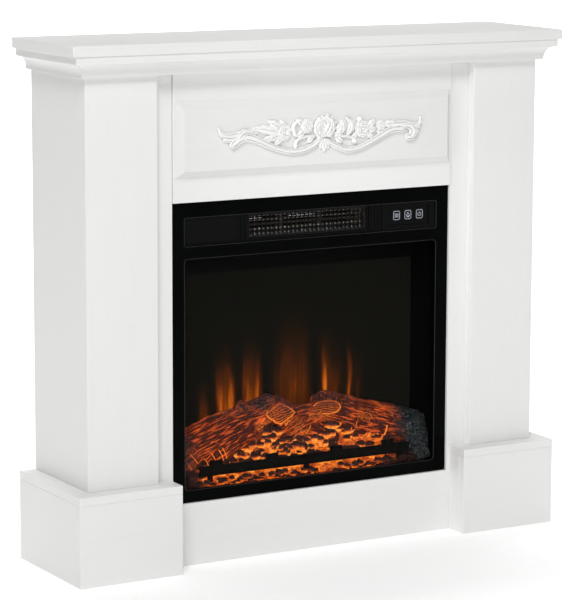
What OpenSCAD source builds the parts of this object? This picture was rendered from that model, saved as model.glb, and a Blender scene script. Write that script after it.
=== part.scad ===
// Electric fireplace: a white timber mantel around a black electric fire insert.
// X runs left to right, Y from the room to the wall, Z up. The origin is on the floor, under the middle.
// A depth "d" is a distance out from the wall, so d = 0 is the back of the mantel.

/* [Mantel] */
// Width of the mantel shelf
shelf_w = 800; // [790:1:840]
// Depth of the mantel shelf, from the wall to its front edge
shelf_d = 200; // [199:1:208]
// Overall height of the fireplace
total_h = 750; // [746:1:790]
// Thickness of the mantel shelf
shelf_t = 15; // [12:1:18]
// Thickness of every other timber board
board_t = 12; // [10:1:12]

/* [Crown moulding] */
// Height of the crown moulding under the shelf
crown_h = 30; // [28:1:34]
// Height of the square ledge at the top of the crown
ledge_h = 11; // [8:1:13]
// How far the ledge sits in from the ends of the shelf
ledge_inset = 6; // [3:1:8]
// How far the cove steps back between the ledge and its foot
cove_step = 15; // [12:1:17]

/* [Columns and plinths] */
// Outer half width across both columns
column_x1 = 371; // [366:1:374]
// Inner half width across both columns
column_x0 = 261; // [255:1:265]
// Depth of the column fronts
column_d = 174; // [172:1:178]
// Outer half width across both plinths
plinth_x1 = 396; // [394:1:398]
// Inner half width between both plinths
plinth_x0 = 236; // [234:1:240]
// Depth of the plinth fronts
plinth_d = 199; // [195:1:199]
// Height of the plinths
plinth_h = 129; // [120:1:138]

/* [Frieze] */
// Height of the underside of the frieze above the floor
frieze_z = 523; // [523:1:525]
// Depth of the stiles and the kick board
stile_d = 159; // [158:1:160]
// Half width of the raised panel at its foot
panel_x = 227.5; // [220:0.5:228]
// Lower edge of the raised panel
panel_z0 = 557.5; // [553:0.5:562]
// Upper edge of the raised panel
panel_z1 = 664.5; // [658:0.5:672]
// Width and height of the bevel round the raised panel
panel_bevel = 10; // [6:1:12]
// Half length of the carved garland
garland_x = 169; // [160:1:180]

/* [Insert] */
// Half width of the insert's bezel
bezel_x = 229.8; // [229:0.1:230]
// Lower edge of the bezel, just above the kick board
bezel_z0 = 91.4; // [91.2:0.1:92]
// Depth of the bezel's front face
bezel_d = 155; // [154:0.5:156]
// Thickness of the bezel
bezel_t = 7; // [7:0.5:7.5]
// Half width of the window
window_x = 209.5; // [205:0.5:210]
// Lower edge of the window
window_z0 = 109; // [106:0.5:112]
// Upper edge of the window
window_z1 = 442; // [438:0.5:443]
// Lower edge of the control strip
strip_z0 = 460; // [458:0.5:461]
// Upper edge of the control strip
strip_z1 = 500.5; // [500:0.5:502]
// Travel of each push button
button_travel = 1; // [0.5:0.1:1]

/* [Hidden] */
$fn = 48;

left = -1;
right = 1;
white = [0.92, 0.92, 0.9];
raw_board = [0.72, 0.6, 0.44];
black = [0.03, 0.03, 0.035];
steel = [0.62, 0.63, 0.65];

// Heights that follow from the driving sizes
shelf_z = total_h - shelf_t;
crown_z = shelf_z - crown_h;
sub_top_z = shelf_z - board_t;
// Gap between the insert's bezel and the boards round it
seam = 0.4;
kick_h = bezel_z0 - seam;

// Crown moulding, measured out from its flat back
frieze_d = stile_d + 2;
ledge_x = shelf_w / 2 - ledge_inset;
ledge_d = shelf_d - 2;
crown_u = ledge_d - frieze_d;
crown_x0 = ledge_x - crown_u;
cove_lip = 2;

// Garland: the swags run from swag_x0 to swag_x1, on each side
garland_z = (panel_z0 + panel_z1) / 2;
garland_t = 8;
swag_x0 = 8;
swag_x1 = garland_x - 24;
swag_steps = 16;

// Insert: steel casing of thin sheet behind the bezel
sheet = 1.2;
// Side clearance of what stands inside the casing
slip = 0.8;
bezel_z1 = frieze_z - seam;
bezel_back_d = bezel_d - bezel_t;
casing_x = 216;
casing_z0 = kick_h;
casing_z1 = strip_z1 + 16.5;
casing_back_d = 22;
inner_x = casing_x - sheet;
floor_z = casing_z0 + sheet;
glass_t = 4;
deck_z = strip_z0 - 11.5;
bed_x = 212;
screen_d = 80;
screen_lip_z = 407;

// Control strip
strip_d = bezel_d - 3;
fascia_back_d = bezel_back_d - 3;
fascia_z0 = deck_z + sheet + 1;
fascia_z1 = strip_z1 + 9.5;
rib_x = [-118, -111, 98, 104.5, 111];
grille_x0 = -105;
grille_x1 = 95;
grille_z0 = strip_z0 + 4;
grille_z1 = strip_z1 - 0.5;
plate_x0 = 116.5;
rib_t = 2;
wire = 1.4;
wires = 27;
pad_z0 = strip_z0 + 0.3;
pad_z1 = strip_z1 - 0.3;
button_x = [142.3, 161.9, 181.8];
button_z = strip_z0 + 22;
button_w = 13;
button_h = 15;
button_gap = 0.2;
board_d = bezel_d - 26;
board_thick = 1.6;
switch_d = board_d + 6;
// Gap that is left between a stem and its switch when the button is fully pressed
stem_gap = 0.3;

// Flame spindle and blower, both turning about X
mask_d = 67;
spindle_d = 50;
spindle_z = 150;
spindle_r = 2;
blower_d = 72;
blower_z = strip_z0 + 23.5;
duct_z0 = strip_z0 + 5.5;
duct_z1 = strip_z1 + 0.5;
blower_shaft_r = 2.5;
shaft_gap = 0.05;
wheel_r = 19;
wheel_x0 = -106;
wheel_x1 = 94;

// Wall fixing, screws and cord gland
bracket_t = 2;
bracket_w = 24;
bracket_leg = 44;
head_r = 3.2;
head_h = 1.8;
shank_r = 1.5;
shank_l = 8;
tab_t = 1.5;
tab_h = 24;
tab_back_d = stile_d - board_t - tab_t;
tab_screw_x = 244;
tab_levels = [200, 420];
back_screws = [for (x = [-190, 0, 190], z = [kick_h + 9, casing_z1 - 8]) [x, z]];
bracket_x = 300;
bracket_hole_z = 695;
bracket_hole_r = 2.75;
gland_x = 170;
gland_z = 125;
gland_r = 6;
gland_bore_r = 3.6;

// Y of a plane that stands d in front of the wall
function wall_y(d) = shelf_d / 2 - d;

// A box between two X, two depths from the wall and two heights
module slab(x0, x1, d0, d1, z0, z1) {
    translate([x0, wall_y(d1), z0]) cube([x1 - x0, d1 - d0, z1 - z0]);
}

// Shows its children at +X, or mirrored to -X
module on_side(side) {
    mirror([side == left ? 1 : 0, 0, 0]) children();
}

// A profile of [depth, height] points, run along X
module run_x(x0, x1, points) {
    translate([x0, 0, 0])
        rotate([90, 0, 90])
            linear_extrude(x1 - x0)
                polygon([for (p = points) [wall_y(p[0]), p[1]]]);
}

// A plan outline of [x, depth] points, raised from z0 to z1
module plan_block(z0, z1, points) {
    translate([0, 0, z0])
        linear_extrude(z1 - z0)
            polygon([for (p = points) [p[0], wall_y(p[1])]]);
}

// A cylinder along X, from x0 to x1, at depth d and height z
module rod_x(x0, x1, d, z, r, r_end = undef) {
    translate([x0, wall_y(d), z])
        rotate([0, 90, 0])
            cylinder(h = x1 - x0, r1 = r, r2 = is_undef(r_end) ? r : r_end);
}

// A cylinder along Y, from depth d0 to d1
module rod_y(x, z, d0, d1, r) {
    translate([x, wall_y(d0), z]) rotate([90, 0, 0]) cylinder(h = d1 - d0, r = r);
}

// ---------------------------------------------------------------- mantel boards

module mantel_shelf() {
    color(white) slab(-shelf_w / 2, shelf_w / 2, 0, shelf_d, shelf_z, total_h);
}

module sub_top() {
    color(raw_board) slab(-crown_x0, crown_x0, 0, stile_d - board_t, sub_top_z, shelf_z);
}

// Crown profile: u runs out from the flat back, v up from the foot
function crown_profile() = let (
    foot_u = crown_u - cove_step,
    arc_u = cove_step - cove_lip,
    arc_v = crown_h - ledge_h - cove_lip
) concat(
    [[0, 0], [0, crown_h], [crown_u, crown_h], [crown_u, crown_h - ledge_h]],
    [for (a = [90:9:180]) [crown_u - cove_lip + arc_u * cos(a), cove_lip + arc_v * sin(a)]],
    [[foot_u, 0]]
);

// Front length of the crown, mitred at both ends
module crown_front() {
    color(white) intersection() {
        run_x(-ledge_x, ledge_x, [for (p = crown_profile()) [frieze_d + p[0], crown_z + p[1]]]);
        plan_block(crown_z - 1, shelf_z + 1, [
            [-crown_x0, frieze_d], [crown_x0, frieze_d], [ledge_x, ledge_d], [-ledge_x, ledge_d]
        ]);
    }
}

// Side length of the crown, from the mitre back to the wall
module crown_return(side) {
    color(white) on_side(side) intersection() {
        translate([0, wall_y(0), 0])
            rotate([90, 0, 0])
                linear_extrude(ledge_d)
                    polygon([for (p = crown_profile()) [crown_x0 + p[0], crown_z + p[1]]]);
        plan_block(crown_z - 1, shelf_z + 1, [
            [crown_x0, 0], [ledge_x, 0], [ledge_x, ledge_d], [crown_x0, frieze_d]
        ]);
    }
}

module frieze_board() {
    frieze_x = bezel_x + seam;
    color(white) slab(-frieze_x, frieze_x, frieze_d - board_t, frieze_d, frieze_z, shelf_z);
}

// Planted panel with a bevel on all four edges
module raised_panel() {
    mid_z = (panel_z0 + panel_z1) / 2;
    half_h = (panel_z1 - panel_z0) / 2;
    points = [for (level = [0, 1], corner = [[-1, -1], [1, -1], [1, 1], [-1, 1]])
        [corner[0] * (panel_x - level * panel_bevel),
         wall_y(frieze_d + level * panel_bevel),
         mid_z + corner[1] * (half_h - level * panel_bevel)]];
    color(white) polyhedron(points, [
        [0, 3, 2, 1], [4, 5, 6, 7], [0, 1, 5, 4], [1, 2, 6, 5], [2, 3, 7, 6], [3, 0, 4, 7]
    ]);
}

// Garland: a rose over two S-shaped swags, with side flowers and end scrolls, cut from one thickness
function swag_x(t) = swag_x0 + (swag_x1 - swag_x0) * t;
function swag_z(t) = -9 - 13 * sin(180 * pow(1 - t, 2.2)) + 12 * t * t;
function swag_half(t) = 5 - 2 * t;
module garland_half() {
    step = 1 / swag_steps;
    polygon(concat(
        [for (t = [0:step:1]) [swag_x(t), swag_z(t) - swag_half(t)]],
        [for (t = [1:-step:0]) [swag_x(t), swag_z(t) + swag_half(t)]]
    ));
    // Leaves that fill the space between the swag and the flowers
    polygon([[-6, -13], [40, -21], [swag_x1 - 33, -4], [swag_x1 - 46, 9], [-6, 11]]);
    // Flowers and the end scroll, as [x, z, radius]
    for (c = [[36, 5, 11], [62, 6, 12.5], [87, 7, 9.5], [swag_x1, 1, 11], [garland_x - 9, 11, 8]])
        translate([c[0], c[1]]) circle(r = c[2]);
}
module garland_onlay() {
    color(white)
        translate([0, wall_y(frieze_d + panel_bevel), garland_z])
            rotate([90, 0, 0])
                linear_extrude(garland_t) {
                    translate([0, 10]) circle(r = 21);
                    translate([0, -17]) circle(r = 10);
                    garland_half();
                    mirror([1, 0]) garland_half();
                }
}

module stile(side) {
    color(white) on_side(side)
        slab(bezel_x + 2 * seam, column_x0, stile_d - board_t, stile_d, kick_h, shelf_z);
}

module kick_board() {
    color(white) slab(-column_x0, column_x0, stile_d - board_t, stile_d, 0, kick_h);
}

module column_front(side) {
    color(white) on_side(side)
        slab(column_x0, column_x1, column_d - board_t, column_d, plinth_h, crown_z);
}

module column_outer(side) {
    color(white) on_side(side)
        slab(column_x1 - board_t, column_x1, 0, column_d - board_t, plinth_h, crown_z);
}

// The inner upright stands on the floor, carries the sub-top and is notched behind the crown
module column_inner(side) {
    color(white) on_side(side) {
        slab(column_x0, column_x0 + board_t, 0, column_d - board_t, 0, crown_z);
        slab(column_x0, column_x0 + board_t, 0, stile_d - board_t, 0, sub_top_z);
    }
}

module plinth_front(side) {
    color(white) on_side(side)
        slab(plinth_x0, plinth_x1, plinth_d - board_t, plinth_d, 0, plinth_h - board_t);
}

module plinth_side(side) {
    color(white) on_side(side)
        slab(plinth_x1 - board_t, plinth_x1, 0, plinth_d - board_t, 0, plinth_h - board_t);
}

module plinth_return(side) {
    color(white) on_side(side)
        slab(plinth_x0, plinth_x0 + board_t, stile_d, plinth_d - board_t, 0, plinth_h - board_t);
}

// Cap of the plinth, cut round the inner upright and the stile
module plinth_top(side) {
    upright_x = column_x0 + board_t;
    upright_d = column_d - board_t;
    color(white) on_side(side) plan_block(plinth_h - board_t, plinth_h, [
        [upright_x, 0], [plinth_x1, 0], [plinth_x1, plinth_d], [plinth_x0, plinth_d],
        [plinth_x0, stile_d], [column_x0, stile_d], [column_x0, upright_d], [upright_x, upright_d]
    ]);
}

module insert_shelf() {
    color(raw_board)
        slab(-column_x0, column_x0, casing_back_d, stile_d - board_t, kick_h - board_t, kick_h);
}

// Triangular glue blocks inside the columns
module corner_blocks() {
    leg = 22;
    long = 40;
    back_d = column_d - board_t;
    outer_x = column_x1 - board_t;
    inner_edge = column_x0 + board_t;
    color(raw_board) for (side = [left, right], z = [170, 410, 650]) on_side(side) {
        for (c = [[outer_x, -leg], [inner_edge, leg]])
            plan_block(z, z + long, [[c[0], back_d], [c[0] + c[1], back_d], [c[0], back_d - leg]]);
    }
}

// Steel angles that tie the mantel to the wall
module wall_brackets() {
    x0 = bracket_x - bracket_w / 2;
    x1 = bracket_x + bracket_w / 2;
    color(steel) for (side = [left, right]) on_side(side) difference() {
        union() {
            slab(x0, x1, 0, bracket_leg, sub_top_z - bracket_t, sub_top_z);
            slab(x0, x1, 0, bracket_t, sub_top_z - bracket_leg + bracket_t, sub_top_z);
        }
        rod_y(bracket_x, bracket_hole_z, -1, bracket_t + 1, bracket_hole_r);
    }
}

// ---------------------------------------------------------------- fasteners

// A screw driven away from the wall, with its head on the plane at depth d
module screw_out(x, z, d) {
    rod_y(x, z, d - head_h, d, head_r);
    rod_y(x, z, d, d + shank_l, shank_r);
}

// A screw driven up, with its head under the plane at height z
module screw_up(x, d, z) {
    translate([x, wall_y(d), z - head_h]) cylinder(h = head_h, r = head_r);
    translate([x, wall_y(d), z]) cylinder(h = shank_l, r = shank_r);
}

module screws() {
    color(steel) {
        for (side = [left, right]) on_side(side) {
            for (d = [18, 34]) screw_up(bracket_x, d, sub_top_z - bracket_t);
            for (z = tab_levels) screw_out(tab_screw_x, z, tab_back_d);
        }
        for (s = back_screws) screw_out(s[0], s[1], casing_back_d);
    }
}

// ---------------------------------------------------------------- insert, outside

// A rounded rectangle from [x0, z0] to [x1, z1], run through the depths d0 to d1
module rounded_slot(x0, x1, z0, z1, r, d0, d1) {
    for (x = [x0 + r, x1 - r], z = [z0 + r, z1 - r]) rod_y(x, z, d0, d1, r);
    slab(x0 + r, x1 - r, d0, d1, z0, z1);
    slab(x0, x1, d0, d1, z0 + r, z1 - r);
}

module front_bezel() {
    cut0 = bezel_back_d - 1;
    cut1 = bezel_d + 1;
    color(black) difference() {
        slab(-bezel_x, bezel_x, bezel_back_d, bezel_d, bezel_z0, bezel_z1);
        rounded_slot(-window_x, window_x, window_z0, window_z1, 5, cut0, cut1);
        rounded_slot(-window_x, window_x, strip_z0, strip_z1, 2, cut0, cut1);
    }
}

// Plate behind the strip opening: blank panel, ribs and the opening for the grille
module control_fascia() {
    edge_x = inner_x - slip;
    color(black) difference() {
        union() {
            slab(-edge_x, plate_x0 - 0.2, fascia_back_d, bezel_back_d, fascia_z0, fascia_z1);
            slab(-window_x + 0.3, plate_x0 - 0.2, bezel_back_d, strip_d, pad_z0, pad_z1);
            for (x = rib_x) slab(x, x + rib_t, strip_d, strip_d + 1.5, pad_z0, pad_z1);
        }
        slab(grille_x0, grille_x1, fascia_back_d - 1, strip_d + 1, grille_z0, grille_z1 - 1);
        slab(-window_x + 4, -122, strip_d - 1, strip_d + 1, pad_z0 + 3, pad_z1 - 3);
    }
}

// Wire guard over the hot air outlet
module outlet_grille() {
    x0 = grille_x0 + 0.3;
    x1 = grille_x1 - 0.3;
    z0 = grille_z0 + 0.3;
    z1 = grille_z1 - 1.3;
    face_d = strip_d - 2;
    pitch = (x1 - x0 - 2 * wire) / (wires + 1);
    rows = [z0 + 9, z0 + 17.5, z0 + 26];
    color("dimgray") {
        difference() {
            slab(x0, x1, face_d - 2 * wire, face_d, z0, z1);
            slab(x0 + 2, x1 - 2, face_d - 3 * wire, face_d + 1, z0 + 2, z1 - 2);
        }
        for (i = [1:wires]) slab(x0 + wire + i * pitch - wire / 2, x0 + wire + i * pitch + wire / 2,
            face_d - wire, face_d, z0 + 1, z1 - 1);
        for (z = rows) slab(x0 + 1, x1 - 1, face_d - 2 * wire + 0.2, face_d - wire + 0.2, z, z + wire);
    }
}

// Control panel with a shallow pocket, three button holes and bosses for the circuit board
module control_plate() {
    edge_x = inner_x - slip;
    hole_x = button_w / 2 + button_gap;
    hole_z = button_h / 2 + button_gap;
    color(black) difference() {
        union() {
            slab(plate_x0 + 0.2, edge_x, fascia_back_d, bezel_back_d, fascia_z0, fascia_z1);
            slab(plate_x0 + 0.2, window_x - 0.3, bezel_back_d, strip_d + 1, pad_z0, pad_z1);
            for (x = [122, 202], z = [strip_z0 - 0.5, strip_z1 + 3.5])
                rod_y(x, z, board_d + board_thick, fascia_back_d, 2.5);
        }
        slab(127, 198, strip_d - 0.5, strip_d + 2, strip_z0 + 7, strip_z1 - 5);
        for (x = button_x)
            slab(x - hole_x, x + hole_x, fascia_back_d - 1, strip_d + 2,
                button_z - hole_z, button_z + hole_z);
    }
}

// Push button: face, retaining flange and the stem that presses its switch
module push_button(x) {
    color([0.06, 0.06, 0.07]) {
        slab(x - button_w / 2, x + button_w / 2, fascia_back_d - 0.5, strip_d + 0.5,
            button_z - button_h / 2, button_z + button_h / 2);
        slab(x - button_w / 2 - 1, x + button_w / 2 + 1, fascia_back_d - 2, fascia_back_d - 0.3,
            button_z - button_h / 2 - 1, button_z + button_h / 2 + 1);
        rod_y(x, button_z, switch_d + button_travel + stem_gap, fascia_back_d - 1, 2);
    }
}

module front_glass() {
    color([0.1, 0.1, 0.1, 0.3])
        slab(-inner_x + slip, inner_x - slip, bezel_back_d - glass_t, bezel_back_d,
            floor_z + 8, deck_z - seam);
}

// ---------------------------------------------------------------- insert, casing

module casing_back() {
    vent_z = deck_z + 7;
    vent_pitch = 7.5;
    through = [casing_back_d - 1, casing_back_d + sheet + 1];
    color(black) difference() {
        slab(-inner_x, inner_x, casing_back_d, casing_back_d + sheet, floor_z, casing_z1);
        for (row = [0:6], x = [-150, -50, 50, 150])
            slab(x - 38, x + 38, through[0], through[1],
                vent_z + row * vent_pitch, vent_z + row * vent_pitch + 3);
        rod_y(gland_x, gland_z, through[0], through[1], gland_r);
    }
}

module casing_side(side) {
    color(black) on_side(side)
        slab(inner_x, casing_x, casing_back_d, bezel_back_d, floor_z, casing_z1);
}

module casing_top() {
    color(black) slab(-casing_x, casing_x, casing_back_d, bezel_back_d, casing_z1, casing_z1 + sheet);
}

module casing_bottom() {
    color(black) slab(-casing_x, casing_x, casing_back_d, bezel_back_d, casing_z0, floor_z);
}

// Angles that screw the casing to the backs of the stiles
module mounting_brackets() {
    color(steel) for (side = [left, right], z = tab_levels) on_side(side) {
        slab(casing_x, casing_x + tab_t, tab_back_d - 26, tab_back_d + tab_t, z - tab_h / 2, z + tab_h / 2);
        slab(casing_x, column_x0 - 4, tab_back_d, tab_back_d + tab_t, z - tab_h / 2, z + tab_h / 2);
    }
}

// Floor of the heater compartment, with a lip that hangs in front of the flame screen
module heater_deck() {
    lip_x = inner_x - 0.3;
    color(black) {
        slab(-lip_x, lip_x, casing_back_d + sheet, bezel_back_d - 0.2, deck_z, deck_z + sheet);
        slab(-lip_x, lip_x, screen_d, screen_d + sheet, screen_lip_z, deck_z + sheet / 2);
    }
}

module flame_screen() {
    color([0.09, 0.085, 0.08]) slab(-inner_x + 1, inner_x - 1, screen_d - 2, screen_d, floor_z, deck_z - 3);
}

// Steel stencil that shapes the light into flames
module flame_mask() {
    heights = [90, 130, 150, 165, 150, 120, 85];
    pitch = 54;
    color("darkgray") difference() {
        slab(-inner_x + 3, inner_x - 3, mask_d - 1, mask_d, floor_z, 340);
        for (i = [0:6]) {
            h = heights[i];
            translate([(i - 3) * pitch, wall_y(mask_d - 2), spindle_z])
                rotate([90, 0, 0])
                    linear_extrude(4)
                        polygon([[-12, 0], [-16, h * 0.2], [-7, h * 0.5], [-9, h * 0.7], [1, h],
                                 [6, h * 0.65], [15, h * 0.3], [10, 0]]);
        }
    }
}

// ---------------------------------------------------------------- fire bed

// Ember bed: a moulded shell, open underneath, with a flat ledge at the front for the grate bar
bed_outer = [
    [142, floor_z], [142, 111], [140, 113], [132, 113], [122, 121],
    [108, 132], [95, 143], [84, 150], [84, floor_z]
];
bed_inner = [[137, floor_z], [137, 107], [123, 114], [106, 127], [94, 138], [88, 142], [88, floor_z]];
module ember_bed() {
    color([0.35, 0.12, 0.05])
        run_x(-bed_x, bed_x, concat(bed_outer, [for (i = [len(bed_inner) - 1:-1:0]) bed_inner[i]]));
}

// Logs: each row is one end [x, d, z], the other end [x, d, z], and the two radii
logs = [
    [[-190, 112, 158], [-24, 102, 206], 20, 17],
    [[190, 112, 158], [38, 103, 204], 20, 18],
    [[-128, 117, 136], [-16, 116, 192], 13, 13],
    [[-10, 119, 148], [62, 116, 194], 14, 14],
    [[180, 120, 138], [70, 119, 174], 12, 12],
    [[-192, 118, 130], [-148, 117, 158], 15, 13],
    [[20, 117, 134], [112, 117, 150], 10, 10]
];

// A tapered cylinder between two points given as [x, d, z]
module log_between(a, b, r1, r2) {
    p = [a[0], wall_y(a[1]), a[2]];
    q = [b[0], wall_y(b[1]), b[2]];
    run = q - p;
    turn = atan2(run[1], run[0]);
    tilt = atan2(norm([run[0], run[1]]), run[2]);
    translate(p) rotate([0, tilt, turn]) cylinder(h = norm(run), r1 = r1, r2 = r2, $fn = 32);
}

module log_set() {
    color([0.3, 0.13, 0.08]) difference() {
        union() {
            for (l = logs) log_between(l[0], l[1], l[2], l[3]);
            run_x(-bed_x + 2, bed_x - 2, [[121, 118], [108, 150], [90, 160], [86, 140]]);
        }
        run_x(-bed_x - 1, bed_x + 1, bed_outer);
        slab(-bed_x - 20, bed_x + 20, 80, 150, 60, 114);
    }
}

// Black bar in front of the logs, with four stops on top and three feet on the ledge
module grate_bar() {
    bar_d0 = 136;
    bar_d1 = 139;
    color([0.05, 0.05, 0.05]) {
        slab(-177, 177, bar_d0, bar_d1, 122, 137);
        for (x = [-150, -58, 50, 140]) slab(x - 10, x + 10, bar_d0, bar_d1, 136, 144);
        for (x = [-160, 0, 160]) slab(x - 4, x + 4, bar_d0, bar_d1, 113, 124);
    }
}

// ---------------------------------------------------------------- flame effect

module flame_spindle() {
    flag_count = 12;
    flag_x = 20;
    flag_r = 15;
    pitch = 31;
    color("silver") {
        rod_x(-inner_x + 2, 200, spindle_d, spindle_z, spindle_r);
        for (i = [0:flag_count - 1])
            translate([-185 + i * pitch, wall_y(spindle_d), spindle_z])
                rotate([i * 50, 0, 0])
                    translate([0, -flag_r, -0.4]) cube([flag_x, 2 * flag_r, 0.8]);
    }
}

module spindle_motor() {
    color("lightgray") difference() {
        union() {
            rod_x(193, 210, spindle_d, spindle_z, 13);
            rod_x(210, inner_x, spindle_d, spindle_z, 15.5);
        }
        rod_x(190, 201, spindle_d, spindle_z, spindle_r + shaft_gap);
    }
}

module spindle_bush() {
    color("dimgray") difference() {
        rod_x(-inner_x, -inner_x + 6, spindle_d, spindle_z, 6);
        rod_x(-inner_x + 1.5, -inner_x + 8, spindle_d, spindle_z, spindle_r + shaft_gap);
    }
}

// Two strips of lamps on the casing floor: under the spindle and under the embers
module led_strips() {
    top_z = floor_z + board_thick;
    color([0.1, 0.4, 0.2]) for (d = [38, 112]) {
        slab(-180, 180, d - 6, d + 6, floor_z, top_z);
        for (i = [0:11]) slab(-168 + i * 30, -162 + i * 30, d - 3, d + 3, top_z, top_z + 1.8);
    }
}

// ---------------------------------------------------------------- heater

// Scroll round the wheel, duct to the outlet and two end plates
module blower_housing() {
    wall = 1.5;
    scroll_r = 23;
    duct_d = 140;
    x0 = -110;
    x1 = 98;
    color(steel) difference() {
        union() {
            rod_x(x0, x1, blower_d, blower_z, scroll_r + wall);
            slab(x0, x1, blower_d, duct_d, duct_z0, duct_z1);
        }
        rod_x(x0 + wall, x1 - wall, blower_d, blower_z, scroll_r);
        slab(x0 + wall, x1 - wall, blower_d, duct_d + 1, duct_z0 + wall, duct_z1 - wall);
        slab(x0 + wall, x1 - wall, blower_d - scroll_r - 5, blower_d - 6, deck_z, blower_z - 4);
        rod_x(x0 - 1, x1 + 1, blower_d, blower_z, blower_shaft_r + shaft_gap);
    }
}

// Cross-flow fan wheel: shaft, three discs and a ring of blades
module blower_wheel() {
    blades = 18;
    color("dimgray") {
        rod_x(-112, 118, blower_d, blower_z, blower_shaft_r);
        for (x = [wheel_x0, (wheel_x0 + wheel_x1) / 2 - 1, wheel_x1 - 2])
            rod_x(x, x + 2, blower_d, blower_z, wheel_r);
        for (i = [0:blades - 1])
            translate([wheel_x0 + 0.5, wall_y(blower_d), blower_z])
                rotate([i * 360 / blades, 0, 0])
                    translate([0, -0.5, wheel_r - 5.5]) cube([wheel_x1 - wheel_x0 - 1, 1, 4.8]);
    }
}

module blower_motor() {
    color(steel) difference() {
        union() {
            rod_x(100, 140, blower_d, blower_z, 17);
            slab(106, 132, blower_d - 14, blower_d + 14, deck_z + sheet, blower_z - 8);
        }
        rod_x(99, 119, blower_d, blower_z, blower_shaft_r + shaft_gap);
    }
}

// Insulating cards with the heating rods strung between them
module heating_element() {
    color("tan") {
        for (x = [-106, -40, 26, 92]) slab(x, x + 1.5, 114, 130, duct_z0 + 2.5, duct_z1 - 2.5);
        for (row = [0:3], d = [118, 126]) rod_x(-105, 93, d, duct_z0 + 8 + row * 6.5, 1.5);
    }
}

module thermal_cutout() {
    color("silver") translate([-40, wall_y(110), duct_z1]) cylinder(h = 5, r = 7);
}

// Circuit board and its three switches
module control_board() {
    color([0.08, 0.3, 0.12]) {
        slab(117, 207, board_d, board_d + board_thick, strip_z0 - 3, strip_z1 + 6.5);
        for (x = button_x) rod_y(x, button_z, board_d + board_thick, switch_d, 3);
    }
}

// Grommet where the mains lead leaves the casing
module cord_gland() {
    color(black) difference() {
        union() {
            rod_y(gland_x, gland_z, casing_back_d - 4, casing_back_d, 9);
            rod_y(gland_x, gland_z, casing_back_d, casing_back_d + 8, gland_r);
        }
        rod_y(gland_x, gland_z, casing_back_d - 5, casing_back_d + 9, gland_bore_r);
    }
}

// ---------------------------------------------------------------- nodes

mantel_shelf();
sub_top();
crown_front();
crown_return(left);  // crown_return_left
crown_return(right);  // crown_return_right
frieze_board();
raised_panel();
garland_onlay();
stile(left);  // stile_left
stile(right);  // stile_right
kick_board();
column_front(left);  // column_front_left
column_front(right);  // column_front_right
column_outer(left);  // column_outer_left
column_outer(right);  // column_outer_right
column_inner(left);  // column_inner_left
column_inner(right);  // column_inner_right
plinth_front(left);  // plinth_front_left
plinth_front(right);  // plinth_front_right
plinth_side(left);  // plinth_side_left
plinth_side(right);  // plinth_side_right
plinth_return(left);  // plinth_return_left
plinth_return(right);  // plinth_return_right
plinth_top(left);  // plinth_top_left
plinth_top(right);  // plinth_top_right
insert_shelf();
corner_blocks();
wall_brackets();
screws();
front_bezel();
control_fascia();
outlet_grille();
control_plate();
push_button(button_x[0]);  // button_heat
push_button(button_x[1]);  // button_flame
push_button(button_x[2]);  // button_power
front_glass();
casing_back();
casing_side(left);  // casing_left
casing_side(right);  // casing_right
casing_top();
casing_bottom();
mounting_brackets();
heater_deck();
flame_screen();
flame_mask();
ember_bed();
log_set();
grate_bar();
flame_spindle();
spindle_motor();
spindle_bush();
led_strips();
blower_housing();
blower_wheel();
blower_motor();
heating_element();
thermal_cutout();
control_board();
cord_gland();
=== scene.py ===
"""Looks of the electric fireplace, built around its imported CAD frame.

Lengths in the part are millimetres and Blender's are metres, so MM turns one into the other.
A depth is a distance out from the wall, as in the part's own source.
"""
import math

import bpy
import numpy as np
from mathutils import Matrix, Vector, noise


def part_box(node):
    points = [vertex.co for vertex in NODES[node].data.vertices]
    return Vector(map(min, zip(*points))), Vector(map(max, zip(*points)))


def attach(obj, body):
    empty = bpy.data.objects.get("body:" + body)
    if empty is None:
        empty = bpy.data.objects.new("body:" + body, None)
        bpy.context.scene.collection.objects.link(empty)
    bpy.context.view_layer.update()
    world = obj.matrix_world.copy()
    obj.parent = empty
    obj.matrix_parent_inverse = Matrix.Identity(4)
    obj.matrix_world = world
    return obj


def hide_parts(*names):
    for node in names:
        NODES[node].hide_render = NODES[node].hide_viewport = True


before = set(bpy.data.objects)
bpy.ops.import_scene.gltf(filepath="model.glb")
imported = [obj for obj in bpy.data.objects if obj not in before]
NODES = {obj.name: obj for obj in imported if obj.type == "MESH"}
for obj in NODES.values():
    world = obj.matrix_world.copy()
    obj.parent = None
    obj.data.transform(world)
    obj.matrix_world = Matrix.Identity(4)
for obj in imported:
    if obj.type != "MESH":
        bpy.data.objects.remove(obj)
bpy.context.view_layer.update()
CABINET = "cabinet"
MM = 0.001
WALL_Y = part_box("mantel_shelf")[1].y
scene = bpy.context.scene


def at(x, depth, z):
    """A point in metres, from x, the depth out from the wall and z in millimetres."""
    return Vector((x * MM, WALL_Y - depth * MM, z * MM))


# ---------------------------------------- camera, floor and light

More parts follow.
